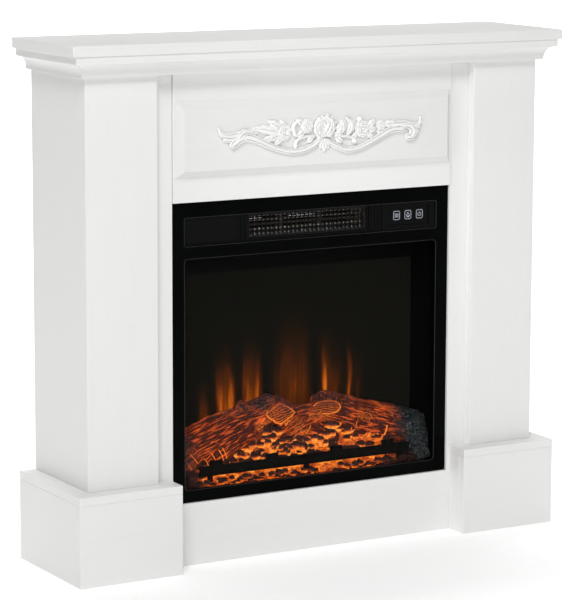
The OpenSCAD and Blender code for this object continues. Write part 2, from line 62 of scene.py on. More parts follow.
def add_camera():
    """A long lens, to the left of the fireplace and above it, almost level."""
    yaw, pitch, roll = math.radians(31.09), math.radians(-9.40), math.radians(0.40)
    forward = Vector((
        math.sin(yaw) * math.cos(pitch), math.cos(yaw) * math.cos(pitch), math.sin(pitch)))
    level_right = Vector((math.cos(yaw), -math.sin(yaw), 0))
    level_up = level_right.cross(forward)
    right = math.cos(roll) * level_right + math.sin(roll) * level_up
    up = math.cos(roll) * level_up - math.sin(roll) * level_right
    data = bpy.data.cameras.new("camera")
    data.sensor_width = 36
    data.lens = 166.8
    data.shift_x = -0.1016
    data.shift_y = -0.0044
    data.clip_end = 200
    camera = bpy.data.objects.new("camera", data)
    place = (-2.0001, -3.4804, 1.0289)
    turn = Matrix((right, up, -forward)).transposed()
    camera.matrix_world = Matrix.Translation(place) @ turn.to_4x4()
    scene.collection.objects.link(camera)
    scene.camera = camera


def add_area_light(name, place, target, size, watts, spread=180):
    """A white soft box at a place, aimed at a target; size is its width and height in metres."""
    data = bpy.data.lights.new(name, "AREA")
    data.shape = "RECTANGLE"
    data.size, data.size_y = size
    data.energy = watts
    data.spread = math.radians(spread)
    light = bpy.data.objects.new(name, data)
    light.location = place
    light.rotation_euler = (Vector(target) - Vector(place)).to_track_quat("-Z", "Y").to_euler()
    scene.collection.objects.link(light)
    return light


def add_lights():
    """A high key from the left, a low fill, a card that lights the black moulding's edges, and two
    boxes behind that whiten the background and the shelf's top."""
    middle = (0, 0, 0.4)
    add_area_light("key", (-2.1, -2.7, 3.8), middle, (1.3, 1.3), 108)
    add_area_light("fill", (-0.42, -1.3, 0.6), middle, (0.8, 0.8), 1.7)
    card = add_area_light("card", (-0.3, -0.26, 0.42), (0.25, -0.1, 0.4), (0.2, 0.6), 0.16, 70)
    card.visible_camera = False
    add_area_light("backdrop", (3.6, 5.7, 5), (3.6, 5.7, 0), (9, 9), 600, 100)
    add_area_light("horizon", (11, 17, 8), (11, 17, 0), (14, 14), 900, 100)


def add_studio():
    """Even white surroundings, and a plain pale floor that glows a little, to stay pale far off."""
    world = bpy.data.worlds.new("studio")
    scene.world = world
    world.use_nodes = True
    sky = world.node_tree.nodes["Background"]
    sky.inputs["Color"].default_value = (1, 1, 1, 1)
    sky.inputs["Strength"].default_value = 0.3
    add_lights()
    floor = bpy.data.objects.new("floor", bpy.data.meshes.new("floor"))
    half = 45
    floor.data.from_pydata(
        [(-half, -half, 0), (half, -half, 0), (half, half, 0), (-half, half, 0)], [], [(0, 1, 2, 3)])
    paint = Finish("floor_paint", (0.95, 0.95, 0.95), 0.8)
    paint.colour(paint.ramp(paint.noise(3), [(0.3, (0.94, 0.94, 0.94)), (0.7, (0.96, 0.96, 0.96))]))
    paint.glow((1, 1, 1, 1), 0.22)
    floor.data.materials.append(paint.material)
    scene.collection.objects.link(floor)
    scene.view_settings.view_transform = "Standard"


# ---------------------------------------- materials

class Finish:
    """A node material that grows a step at a time round one Principled shader."""

    def __init__(self, name, base, roughness, **sockets):
        self.material = bpy.data.materials.new(name)
        self.material.use_nodes = True
        self.tree = self.material.node_tree
        self.shader = self.tree.nodes["Principled BSDF"]
        self.shader.inputs["Base Color"].default_value = (*base, 1)
        self.shader.inputs["Roughness"].default_value = roughness
        for socket, value in sockets.items():
            self.shader.inputs[socket.replace("_", " ")].default_value = value
        self.where = self.add("TexCoord").outputs["Object"]

    def add(self, kind, inputs=(), **settings):
        node = self.tree.nodes.new("ShaderNode" + kind)
        for key, value in settings.items():
            setattr(node, key, value)
        for key, value in dict(inputs).items():
            self.feed(node.inputs[key], value)
        return node

    def feed(self, socket, value):
        if isinstance(value, bpy.types.NodeSocket):
            self.tree.links.new(value, socket)
        else:
            socket.default_value = value

    def scaled(self, scale, where=None):
        """The coordinates, in units of 1/scale metres along each axis."""
        node = self.add("Mapping", {"Vector": where or self.where, "Scale": scale})
        return node.outputs["Vector"]

    def noise(self, scale, detail=3, where=None, rough=0.5):
        """Noise with features about 1/scale metres wide; scale is one number or one for each axis."""
        each = scale if isinstance(scale, tuple) else (scale,) * 3
        return self.add("TexNoise", {
            "Vector": self.scaled(each, where), "Scale": 1, "Detail": detail, "Roughness": rough,
        }).outputs["Fac"]

    def cells(self, scale, where=None, feature="F1"):
        each = scale if isinstance(scale, tuple) else (scale,) * 3
        return self.add("TexVoronoi", {"Vector": self.scaled(each, where), "Scale": 1},
                        feature=feature).outputs["Distance"]

    def maths(self, operation, a, b=0.0):
        return self.add("Math", {0: a, 1: b}, operation=operation).outputs[0]

    def span(self, value, low, high, to_low=0.0, to_high=1.0):
        """value from low..high to to_low..to_high, held at both ends."""
        return self.add("MapRange", {
            "Value": value, "From Min": low, "From Max": high, "To Min": to_low, "To Max": to_high,
        }).outputs["Result"]

    def ramp(self, value, stops):
        node = self.add("ValToRGB", {"Fac": value})
        elements = node.color_ramp.elements
        while len(elements) < len(stops):
            elements.new(1)
        for element, (place, rgb) in zip(elements, stops):
            element.position = place
            element.color = (*rgb, 1)
        return node.outputs["Color"]

    def blend(self, factor, a, b, mode="MIX"):
        node = self.add("Mix", {0: factor}, data_type="RGBA", blend_type=mode)
        for socket, value in ((node.inputs[6], a), (node.inputs[7], b)):
            self.feed(socket, (*value, 1) if isinstance(value, tuple) else value)
        return node.outputs[2]

    def colour(self, value):
        self.feed(self.shader.inputs["Base Color"], value)

    def roughness(self, value):
        self.feed(self.shader.inputs["Roughness"], value)

    def glow(self, value, strength):
        self.feed(self.shader.inputs["Emission Color"], value)
        self.shader.inputs["Emission Strength"].default_value = strength

    def bump(self, height, depth, strength):
        """Adds relief depth metres deep; a second call lies on top of the first."""
        socket = self.shader.inputs["Normal"]
        inputs = {"Height": height, "Distance": depth, "Strength": strength}
        if socket.is_linked:
            inputs["Normal"] = socket.links[0].from_socket
        self.feed(socket, self.add("Bump", inputs).outputs["Normal"])


def white_foil(name, grain, shade=1.0):
    """White foil over board: a faint wood grain along one axis, slightly uneven in gloss; a shade below 1
    makes a darker copy, as painted shade.
    """
    pale, mid, deep = (tuple(c * shade for c in tone) for tone in (
        (0.815, 0.815, 0.803), (0.8, 0.8, 0.785), (0.775, 0.775, 0.76)))
    across, along = 1100, 26
    stretch = tuple(along if axis == grain else across for axis in "xyz")
    broad = tuple(7 if axis == grain else 70 for axis in "xyz")
    f = Finish(name, mid, 0.4)
    fibres = f.noise(stretch, 4)
    streaks = f.noise(broad, 3)
    clouds = f.noise(5, 2)
    tone = f.ramp(f.maths("ADD", f.maths("MULTIPLY", streaks, 0.5), f.maths("MULTIPLY", clouds, 0.5)),
                  [(0.35, mid), (0.65, pale)])
    pores = f.span(fibres, 0.28, 0.4)
    f.colour(f.blend(pores, deep, tone))
    f.roughness(f.span(streaks, 0.3, 0.7, 0.36, 0.48))
    f.bump(fibres, 0.00008, 0.5)
    f.bump(f.noise(420, 2), 0.00005, 0.35)
    return f.material


def raw_board():
    """Bare fibreboard, brown and slightly furry, with darker flecks."""
    f = Finish("raw_board", (0.42, 0.3, 0.18), 0.9)
    flecks = f.noise(900, 5)
    f.colour(f.ramp(flecks, [
        (0.3, (0.27, 0.18, 0.1)), (0.55, (0.44, 0.32, 0.19)), (0.75, (0.56, 0.43, 0.28))]))
    f.bump(flecks, 0.0002, 0.6)
    return f.material


def satin_black():
    """The bezel: black moulding with a soft gloss and a barely visible orange peel."""
    f = Finish("satin_black", (0.0008, 0.0009, 0.0011), 0.3, Specular_IOR_Level=0.03)
    f.colour(f.ramp(f.noise(14), [(0.3, (0.0004, 0.0006, 0.0006)), (0.7, (0.0011, 0.0014, 0.0015))]))
    f.roughness(f.span(f.noise(60, 4), 0.3, 0.7, 0.26, 0.38))
    f.bump(f.noise(900, 2), 0.00002, 0.4)
    return f.material


def moulded_plastic(name, base, roughness, specular=0.08):
    """Spark-textured plastic: a fine, even pebble."""
    f = Finish(name, base, roughness, Specular_IOR_Level=specular)
    pebble = f.cells(1900)
    lift = tuple(c * 1.5 for c in base)
    f.colour(f.blend(f.span(f.noise(40), 0.3, 0.7), base, lift))
    f.roughness(f.span(pebble, 0.1, 0.6, roughness - 0.06, roughness + 0.08))
    f.bump(pebble, 0.00002, 0.3)
    return f.material


def powder_coat(name, base, roughness=0.6):
    """Black powder coat on sheet steel, slightly lumpy."""
    f = Finish(name, base, roughness, Specular_IOR_Level=0.05)
    lumps = f.noise(1200, 3)
    f.colour(f.blend(f.span(f.noise(9), 0.3, 0.7), base, tuple(c * 1.6 for c in base)))
    f.roughness(f.span(lumps, 0.3, 0.7, roughness - 0.08, roughness + 0.1))
    f.bump(lumps, 0.00003, 0.3)
    return f.material


def sheet_metal(name, base, roughness, grain="x"):
    """Bare metal with drawn lines along one axis and a mottled zinc bloom."""
    stretch = tuple(20 if axis == grain else 2600 for axis in "xyz")
    f = Finish(name, base, roughness, Metallic=1.0)
    lines = f.noise(stretch, 3)
    bloom = f.cells(120)
    f.colour(f.blend(f.span(bloom, 0.1, 0.7), base, tuple(c * 0.78 for c in base)))
    f.roughness(f.span(lines, 0.3, 0.7, roughness - 0.08, roughness + 0.12))
    f.bump(lines, 0.00003, 0.4)
    return f.material


def circuit_board():
    """Green solder mask with copper traces that show through it."""
    f = Finish("circuit_board", (0.02, 0.12, 0.05), 0.35)
    traces = f.add("TexBrick", {
        "Vector": f.scaled((240, 240, 240)), "Scale": 1, "Mortar Size": 0.08,
        "Color1": (0.01, 0.09, 0.03, 1), "Color2": (0.014, 0.11, 0.04, 1), "Mortar": (0.06, 0.26, 0.08, 1)})
    f.colour(traces.outputs["Color"])
    f.roughness(f.span(f.noise(200), 0.3, 0.7, 0.3, 0.45))
    f.bump(traces.outputs["Fac"], 0.00004, 0.5)
    return f.material


def mica():
    """The heating element: layered mica card, darkened by use."""
    f = Finish("mica", (0.6, 0.5, 0.36), 0.5)
    layers = f.noise((60, 60, 500), 5)
    f.colour(f.ramp(layers, [(0.3, (0.08, 0.055, 0.035)), (0.7, (0.2, 0.16, 0.12))]))
    f.bump(layers, 0.0001, 0.6)
    return f.material


def clear_glass():
    """Thin clear glass: what is behind it shows, and its outer faces mirror a little at a glance."""
    f = Finish("clear_glass", (1, 1, 1), 0.02)
    tree = f.tree
    through = f.add("BsdfTransparent", {"Color": (0.94, 0.95, 0.94, 1)})
    mirror = f.add("BsdfGlossy", {"Color": (1, 1, 1, 1), "Roughness": 0.03})
    smears = f.span(f.noise(12, 4), 0.3, 0.8, 0.55, 0.75)
    sheen = f.maths("MULTIPLY", f.add("LayerWeight", {"Blend": 0.3}).outputs["Fresnel"], smears)
    outside = f.maths("SUBTRACT", 1.0, f.add("NewGeometry").outputs["Backfacing"])
    strength = 0.08
    share = f.maths("MULTIPLY", f.maths("MULTIPLY", sheen, outside), strength)
    mixed = f.add("MixShader", {0: share, 1: through.outputs[0], 2: mirror.outputs[0]})
    tree.links.new(mixed.outputs[0], tree.nodes["Material Output"].inputs["Surface"])
    tree.nodes.remove(f.shader)
    return f.material


# Flames on the screen: centre x, foot z, height, half width and brightness, in millimetres
FLAMES = [
    (-140, 166, 84, 11, 0.34),
    (-104, 174, 118, 17, 0.5),
    (-96, 176, 96, 7, 0.42),
    (-114, 176, 100, 5, 0.35),
    (-62, 184, 116, 16, 0.46),
    (-50, 186, 92, 7, 0.36),
    (-70, 180, 96, 5, 0.34),
    (-8, 190, 140, 17, 0.24),
    (14, 190, 150, 20, 0.27),
    (32, 190, 130, 10, 0.2),
    (66, 190, 120, 12, 0.36),
    (63, 190, 100, 5, 0.52),
    (84, 190, 104, 11, 0.24),
    (107, 186, 108, 8, 0.34),
    (106, 186, 92, 4, 0.34),
    (124, 182, 92, 8, 0.16),
]


def flame_screen():
    """A smoked screen with soft tongues of flame projected on it from behind."""
    f = Finish("flame_screen", (0.003, 0.0028, 0.0022), 0.6, Specular_IOR_Level=0.0)
    sway = f.maths("MULTIPLY", f.maths("SUBTRACT", f.noise((26, 1, 9), 2), 0.5), 0.022)
    bent = f.add("CombineXYZ", {0: sway, 1: 0.0, 2: 0.0}).outputs[0]
    where = f.add("VectorMath", {0: f.where, 1: bent}, operation="ADD").outputs[0]
    total = 0.0
    for x, foot, height, half_width, bright in FLAMES:
        # Each tongue is a soft ball stretched to its size, and endless in depth
        middle = foot + 0.25 * height
        reach = (half_width * 1.5, 1e4, 0.9 * height)
        place = f.add("VectorMath", {0: where, 1: (x * MM, 0, middle * MM)}, operation="SUBTRACT")
        shrunk = f.add("VectorMath", {0: place.outputs[0], 1: tuple(1 / (r * MM) for r in reach)},
                       operation="MULTIPLY")
        lobe = f.add("TexGradient", {"Vector": shrunk.outputs[0]}, gradient_type="SPHERICAL")
        soft = f.maths("POWER", lobe.outputs["Fac"], 1.5)
        total = f.maths("ADD", f.maths("MULTIPLY", soft, bright), total)
    streaks = f.span(f.noise((170, 1, 12), 3), 0.3, 0.72, 0.55, 1.35)
    heat = f.maths("MULTIPLY", total, streaks)
    flame = f.ramp(heat, [
        (0.0, (0.0045, 0.0042, 0.0034)), (0.1, (0.02, 0.0075, 0.003)), (0.28, (0.1, 0.02, 0.003)),
        (0.55, (0.44, 0.085, 0.006)), (0.9, (0.95, 0.25, 0.014))])
    f.glow(flame, 1.0)
    f.bump(f.noise(900, 2), 0.00002, 0.2)
    return f.material


def bark_material():
    """Moulded logs: charred bark whose cracks glow where the light below reaches them.

    The straight attribute is a place along and round a log, so that bark runs with its log."""
    f = Finish("bark", (0.03, 0.02, 0.015), 0.75, Specular_IOR_Level=0.12)
    straight = f.add("Attribute", attribute_name="straight").outputs["Vector"]
    glow = f.add("Attribute", attribute_name="glow").outputs["Fac"]
    seam = f.add("Attribute", attribute_name="seam").outputs["Fac"]
    parts = f.add("SeparateXYZ", {"Vector": straight})
    sawn = f.span(parts.outputs["X"], -0.9, -0.5, 1.0, 0.0)
    wobble = f.maths("MULTIPLY", f.noise(55, 2), 0.014)
    level = f.maths("DIVIDE", f.maths("ADD", parts.outputs["Z"], wobble), 0.0062)
    saw_line = f.span(f.maths("PINGPONG", level, 0.5), 0.05, 0.11, 1.0, 0.0)
    fibres = f.noise((50, 460, 460), 4, straight, 0.55)
    ridge = f.maths("ABSOLUTE", f.maths("SUBTRACT", fibres, 0.5))
    split = f.span(ridge, 0.0, 0.02, 1.0, 0.0)
    checks = f.span(f.cells((44, 150, 150), straight, "DISTANCE_TO_EDGE"), 0.0, 0.045, 1.0, 0.0)
    patches = f.span(f.noise(30, 3), 0.5, 0.64)
    cracks = f.maths("MULTIPLY", f.maths("MAXIMUM", split, checks), patches)
    bark_lines = f.maths("MULTIPLY", cracks, f.maths("SUBTRACT", 1.0, sawn))
    face_lines = f.maths("MULTIPLY", saw_line, sawn)
    lines = f.maths("MAXIMUM", f.maths("MAXIMUM", bark_lines, face_lines), f.span(seam, 0.35, 0.8))
    hot = f.maths("MULTIPLY", lines, glow)
    crust = f.noise(300, 4, straight, 0.6)
    ash = f.ramp(crust, [
        (0.34, (0.003, 0.003, 0.004)), (0.5, (0.022, 0.023, 0.026)), (0.66, (0.1, 0.11, 0.12))])
    wood = f.ramp(fibres, [
        (0.36, (0.02, 0.006, 0.004)), (0.5, (0.008, 0.004, 0.004)), (0.66, (0.036, 0.016, 0.018))])
    f.colour(f.blend(glow, ash, wood))
    # Painted light from below: the emission lights the fibres where the glow reaches, and brighter along
    # the cracks, saw lines and glowing rings
    veil = f.maths("ADD", f.maths("MULTIPLY", fibres, 0.8), f.maths("MULTIPLY", f.noise(50, 2), 0.2))
    lit = f.ramp(veil, [
        (0.37, (0.84, 0.125, 0.018)), (0.44, (0.36, 0.046, 0.01)), (0.48, (0.082, 0.011, 0.003)),
        (0.54, (0.034, 0.005, 0.001))])
    soaked = f.blend(glow, (0, 0, 0), lit)
    lit_lines = f.ramp(hot, [(0.1, (0, 0, 0)), (0.4, (0.34, 0.045, 0.005)), (0.9, (0.95, 0.24, 0.025))])
    f.glow(f.blend(1.0, soaked, lit_lines, "ADD"), 1.0)
    f.bump(fibres, 0.003, 1.0)
    f.bump(lines, 0.0014, -0.7)
    return f.material


def coal_material():
    """Coals and the bed between them: black crust over an orange glow."""
    f = Finish("coals", (0.02, 0.014, 0.012), 0.8, Specular_IOR_Level=0.12)
    glow = f.add("Attribute", attribute_name="glow").outputs["Fac"]
    crust = f.noise(170, 5, rough=0.65)
    veins = f.span(f.cells(95, feature="DISTANCE_TO_EDGE"), 0.0, 0.07, 1.0, 0.0)
    stripes = f.span(f.noise((60, 320, 320), 2), 0.36, 0.46, 0.3, 0.0)
    marks = f.maths("MULTIPLY", f.maths("ADD", f.maths("MULTIPLY", veins, 0.4), stripes), glow)
    heat = f.maths("ADD", f.maths("MULTIPLY", glow, 0.9), marks)
    heat = f.maths("SUBTRACT", heat, f.span(crust, 0.35, 0.7, 0.0, 0.3))
    f.colour(f.ramp(crust, [
        (0.3, (0.016, 0.007, 0.006)), (0.6, (0.055, 0.022, 0.019)), (0.75, (0.12, 0.065, 0.06))]))
    f.glow(f.ramp(heat, [
        (0.05, (0.0, 0.0, 0.0)), (0.25, (0.05, 0.01, 0.005)), (0.5, (0.42, 0.055, 0.006)),
        (0.75, (0.86, 0.17, 0.014)), (1.0, (1.0, 0.36, 0.05))]), 1.15)
    f.bump(crust, 0.0016, 0.8)
    return f.material


def cast_white():
    """Cast and painted resin of the garland, with a soft gloss, and painted shade that greys its recesses.
    """
    f = Finish("cast_white", (0.85, 0.85, 0.84), 0.42)
    recess_shade = f.add("Attribute", attribute_name="recess_shade").outputs["Fac"]
    paint = f.ramp(f.noise(60, 4), [(0.35, (0.83, 0.83, 0.82)), (0.65, (0.87, 0.87, 0.865))])
    # Painted shade: the colour greys towards 0.4 in the recesses, standing in for the shade that falls
    # there
    f.colour(f.blend(recess_shade, paint, (0.4, 0.4, 0.39)))
    f.roughness(f.span(f.noise(240, 3), 0.3, 0.7, 0.38, 0.5))
    f.bump(f.noise(1400, 3), 0.00006, 0.5)
    return f.material


def icon_print_glow():
    """Pale printed icons, a little worn, lightened by a faint painted glow."""
    f = Finish("icon_print_glow", (0.5, 0.52, 0.58), 0.5)
    f.colour(f.ramp(f.noise(900, 3), [(0.3, (0.4, 0.42, 0.48)), (0.6, (0.56, 0.58, 0.64))]))
    # Painted light: a faint emission lightens the printed icons
    f.glow((0.5, 0.53, 0.6, 1), 0.12)
    return f.material


# ---------------------------------------- meshes

def new_piece(name, verts, faces, material, slot, body=CABINET, smooth=True):
    """A mesh object in the row frame, riding on a body."""
    mesh = bpy.data.meshes.new(name)
    mesh.from_pydata([tuple(v) for v in verts], [], [tuple(f) for f in faces])
    mesh.materials.append(material)
    mesh.validate()
    mesh.polygons.foreach_set("use_smooth", [smooth] * len(mesh.polygons))
    piece = bpy.data.objects.new(name, mesh)
    scene.collection.objects.link(piece)
    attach(piece, body)
    return piece


def set_attribute(mesh, name, kind, values):
    attribute = mesh.attributes.new(name, kind, "POINT")
    field = "vector" if kind == "FLOAT_VECTOR" else "value"
    attribute.data.foreach_set(field, np.asarray(values, np.float32).ravel())


def tube_faces(offset, rings, sides, closed=False):
    """Faces of a tube made of rings of points, capped at its ends unless it closes on itself."""
    faces = []
    for i in range(rings if closed else rings - 1):
        first, second = offset + i * sides, offset + (i + 1) % rings * sides
        for k in range(sides):
            n = (k + 1) % sides
            faces.append((first + k, first + n, second + n, second + k))
    if not closed:
        last = offset + (rings - 1) * sides
        faces.append(tuple(reversed(range(offset, offset + sides))))
        faces.append(tuple(range(last, last + sides)))
    return faces


def soften(node, width, segments):
    """Rounds a CAD node's sharp edges with modifiers, and leaves its mesh as it is."""
    piece = NODES[node]
    weld = piece.modifiers.new("weld", "WELD")
    weld.merge_threshold = 1e-5
    flat = piece.modifiers.new("flat", "DECIMATE")
    flat.decimate_type = "DISSOLVE"
    flat.angle_limit = math.radians(0.5)
    bevel = piece.modifiers.new("bevel", "BEVEL")
    bevel.width = width * MM
    bevel.segments = segments
    bevel.limit_method = "ANGLE"
    bevel.angle_limit = math.radians(30)
    piece.modifiers.new("normals", "WEIGHTED_NORMAL").keep_sharp = True


# ---------------------------------------- garland

class Relief:
    """A moulded height over a flat grid, in millimetres, raised one shape at a time."""

    def __init__(self, x, z):
        self.x, self.z = x, z
        self.height = np.full(x.shape, -1.0)

    def local(self, x, z, degrees):
        """Each grid point's place along and across a line that leaves (x, z) at an angle."""
        turn = math.radians(degrees)
        dx, dz = self.x - x, self.z - z
        return (dx * math.cos(turn) + dz * math.sin(turn), dz * math.cos(turn) - dx * math.sin(turn))

    def lift(self, height, inside):
        """Raises the relief to a height inside a shape, where it is lower."""
        self.height = np.where(inside, np.maximum(self.height, height), self.height)

    def bead(self, x, z, radius, height):
        """A round lump."""
        r = np.sqrt(((self.x - x) / radius) ** 2 + ((self.z - z) / radius) ** 2)
        self.lift(height * np.clip(1 - r ** 2.4, 0, 1) ** 0.5, r < 1)

    def leaf(self, x, z, degrees, length, width, height):
        """A leaf that starts at a point and runs at an angle, with a midrib and a notched edge."""
        u, v = self.local(x, z, degrees)
        t = np.clip(u / length, 1e-6, 1)
        edge = width * np.sin(np.pi * t ** 0.75) ** 0.8 * (1 + 0.1 * np.cos(6 * np.pi * t))
        s = np.abs(v) / np.maximum(edge, 1e-6)
        body = np.clip(1 - s ** 2.6, 0, 1) ** 0.45 * (0.62 + 0.38 * np.sin(np.pi * t))
        veins = 0.05 * np.cos(2 * np.pi * (4 * t - s)) * (1 - s)
        midrib = 0.32 * np.exp(-((v / (0.13 * width + 0.25)) ** 2))
        self.lift(height * (body + veins - midrib), (s < 1) & (u > 0) & (u < length))

    def petal(self, x, z, degrees, length, width, height):
        """A cupped petal: its free edge stands proud and its heart is hollow."""
        u, v = self.local(x, z, degrees)
        t = np.clip(u / length, 1e-6, 1)
        edge = width * np.sqrt(np.clip(1 - (2 * t - 1.1) ** 2 / 1.25, 0, 1))
        s = np.abs(v) / np.maximum(edge, 1e-6)
        cup = 0.52 + 0.48 * np.maximum(t ** 2.5, s ** 2.5 * t ** 0.5)
        fall = np.clip((1 - np.maximum(s, t)) / 0.09, 0, 1) ** 0.5
        inside = (s < 1) & (u > 0) & (u < length)
        self.height = np.where(inside, height * cup * (0.3 + 0.7 * fall), self.height)

    def rose(self, x, z, radius, height, degrees):
        """Rings of petals, each ring smaller and higher than the one outside it."""
        rings = [(1.0, 5, 0.6), (0.74, 5, 0.8), (0.48, 3, 1.0)]
        for turn, (share, petals, level) in enumerate(rings):
            for k in range(petals):
                angle = degrees + 40 * turn + 360 * k / petals
                reach = radius * share
                self.petal(x, z, angle, reach, 0.6 * reach, height * level)
        self.bead(x, z, 0.17 * radius, 0.95 * height)

    def arm(self, points, half_widths, height):
        """A moulded stem along a smooth line, with two grooves cut along it."""
        knots = np.asarray(points, float)
        steps = np.linspace(0, len(knots) - 1, 16 * len(knots))
        line = np.array([catmull(knots, s) for s in steps])
        widths = np.interp(steps, range(len(half_widths)), half_widths)
        best = np.full(self.x.shape, 1e9)
        for (ax, az), (bx, bz), wa, wb in zip(line[:-1], line[1:], widths[:-1], widths[1:]):
            length = math.hypot(bx - ax, bz - az) + 1e-9
            along = ((self.x - ax) * (bx - ax) + (self.z - az) * (bz - az)) / length ** 2
            along = np.clip(along, 0, 1)
            off = np.hypot(self.x - ax - along * (bx - ax), self.z - az - along * (bz - az))
            best = np.minimum(best, off / (wa + along * (wb - wa)))
        grooves = 0.42 * np.exp(-(((best - 0.5) / 0.11) ** 2))
        self.lift(height * (np.clip(1 - best ** 3.2, 0, 1) ** 0.4 - grooves), best < 1)


def catmull(knots, s):
    """The point at s on a smooth line through the knots."""
    i = min(int(s), len(knots) - 2)
    t = s - i
    a, b, c, d = (knots[min(max(k, 0), len(knots) - 1)] for k in (i - 1, i, i + 1, i + 2))
    return 0.5 * (2 * b + (c - a) * t + (2 * a - 5 * b + 4 * c - d) * t ** 2
                  + (3 * b - a - 3 * c + d) * t ** 3)


# Stems as [x, z] points, half widths and height, from the middle of the panel, in millimetres
STEMS = [
    # The two swags
    ([(-3, -9), (-11, -15), (-26, -21), (-45, -23), (-61, -20.5), (-77, -15.5), (-92, -9),
      (-105, -3), (-117, 0.5), (-127, 0)], (4, 4.6, 5, 4.7, 4.6, 5, 5.4, 6, 6.6, 5.8), 5.6),
    ([(6, -9), (15, -13), (25, -18), (37, -23), (49, -25), (62, -23.5), (76, -19), (88, -13.5),
      (100, -8), (112, -2), (124, 1.5), (136, 1)],
     (4, 4.6, 5, 4.8, 4.6, 4.4, 4.4, 4.6, 5, 5.4, 5.8, 5.6), 5.6),
    # Left end: leaf with the upturned tip, lower leaf, hanging lobe and the wrap over them
    ([(-126, 6), (-140, 3.5), (-152, 3.5), (-161, 7.5), (-165, 15.5)], (5.6, 5.4, 4.8, 3.8, 1.5), 5.2),
    ([(-130, 0), (-145, -1.5), (-156, -1.5)], (5, 4.4, 2.4), 4.4),
    ([(-126, 2), (-137, -5), (-143, -9.5)], (7.4, 6.8, 5), 6.4),
    ([(-112, 8), (-124, 9), (-133, 3), (-136, -5)], (2.6, 3.8, 4.4, 3), 7.2),
    # Right end, with a larger hanging lobe
    ([(124, 7), (142, 7.5), (156, 5), (165, 6), (170, 12), (169.5, 17)], (6, 5.6, 5, 4.4, 3.2, 1.4), 5.2),
    ([(154, 1), (163, -4)], (4.8, 3.6), 5.2),
    ([(156, 4), (166, 1.5)], (4.2, 3.2), 4.8),
    ([(139, 5), (149, 5), (156, -2), (153.5, -10), (147, -11.5)], (3.4, 5.2, 6.4, 6.4, 5), 7.0),
    # Curled leaves and hooks beside the middle rose
    ([(-33, 19.5), (-41, 17), (-45, 10), (-43, 3), (-40, -1)], (1.2, 2.8, 3.6, 3.6, 2.2), 5.2),
    ([(-11, -3), (-22, -3), (-33, -5), (-39.5, -9), (-41, -14)], (2.8, 2.4, 2.4, 2.6, 3.2), 5.0),
    ([(43, 21), (50, 14), (51, 6), (46, -2)], (1.4, 5.0, 5.8, 3), 5.8),
    ([(26, -3.5), (36, -5), (46, -6), (54, -8.5), (57, -12)], (2.6, 2.4, 2.4, 3, 3.8), 5.0),
]
# Leaves as x, z, angle, length, half width and height
LEAVES = [
    (-60, 5, 170, 52, 7.5, 4.8), (-62, 9, 150, 28, 7, 5.4), (-66, 0, 190, 30, 5.6, 4.6),
    (-62, -2, 218, 18, 4.8, 5.0), (-58, 10, 122, 16, 5, 5.0), (-100, 7, 172, 24, 5, 4.2),
    (-26, 4, 206, 16, 5.6, 5.0), (-14, -3, 234, 12, 5, 5.4), (-30, 16, 150, 12, 5, 5.2),
    (26, 5, 22, 15, 6, 5.2), (26, -6, -38, 15, 5.4, 5.2), (24, 0, -8, 14, 5, 5.0),
    (36, -2, 92, 22, 6, 5.0), (78, 3, 50, 20, 5.4, 5.6), (79, 1, 14, 17, 5.4, 5.0),
    (78, -3, -30, 13, 4.6, 5.0), (62, -2, 214, 14, 4.8, 4.4), (104, 8, 6, 28, 5.4, 4.6),
    (94, 2, -24, 15, 4.8, 4.4), (68, 12, 116, 12, 4.6, 5.2),
]
# Beads at the tips of the lower stems, as x, z, radius and height
BEADS = [(-41, -15.5, 3.6, 5.6), (56.5, -12.5, 4.6, 6.4)]
# Roses as x, z, radius, height and turn
ROSES = [(-22, 12, 10.5, 5.8, 12), (-60, 5, 12, 7.0, 30), (70, 4, 12.5, 7.0, 8), (102, 7, 8, 5.0, 24)]
# Round the middle rose, as angle and length: the fan under it, its notched leaves and its inner petals
FAN = [(-138, 15), (-114, 18), (-90, 21), (-66, 19), (-42, 18)]
MIDDLE_LEAVES = [(-50, 17), (-24, 19), (2, 20), (28, 22), (54, 23), (80, 23), (106, 21)]
MIDDLE_PETALS = [(-96, 13), (-46, 14), (6, 15), (62, 17), (108, 16), (158, 14)]


def sculpt_garland(r):
    """Raises the stems, then the leaves on them, then the roses on both."""
    for points, half_widths, height in STEMS:
        r.arm(points, half_widths, height)
    for x, z, degrees, length, width, height in LEAVES:
        r.leaf(x, z, degrees, length, width, height)
    for x, z, radius, height in BEADS:
        r.bead(x, z, radius, height)
    for degrees, length in FAN:
        r.leaf(6, -6.5, degrees, length, 4.6, 5.4)
    for x, z, radius, height, turn in ROSES:
        r.rose(x, z, radius, height, turn)
    # The middle rose: notched outer leaves on the right, broad petals on the left, then its heart
    for degrees, length in MIDDLE_LEAVES:
        r.leaf(8, 7, degrees, length, 6.6, 6.2)
    for degrees in (214, 178, 142):
        r.petal(8, 8, degrees, 19, 9.5, 6.4)
    for degrees, length in MIDDLE_PETALS:
        r.petal(7, 8, degrees, length, 7.6, 7.4)
    r.leaf(6, -3, 62, 25, 7.5, 8.4)
    r.petal(5, 8, 128, 11, 6, 8.2)
    r.petal(4, 6, 236, 9, 5.4, 8.0)


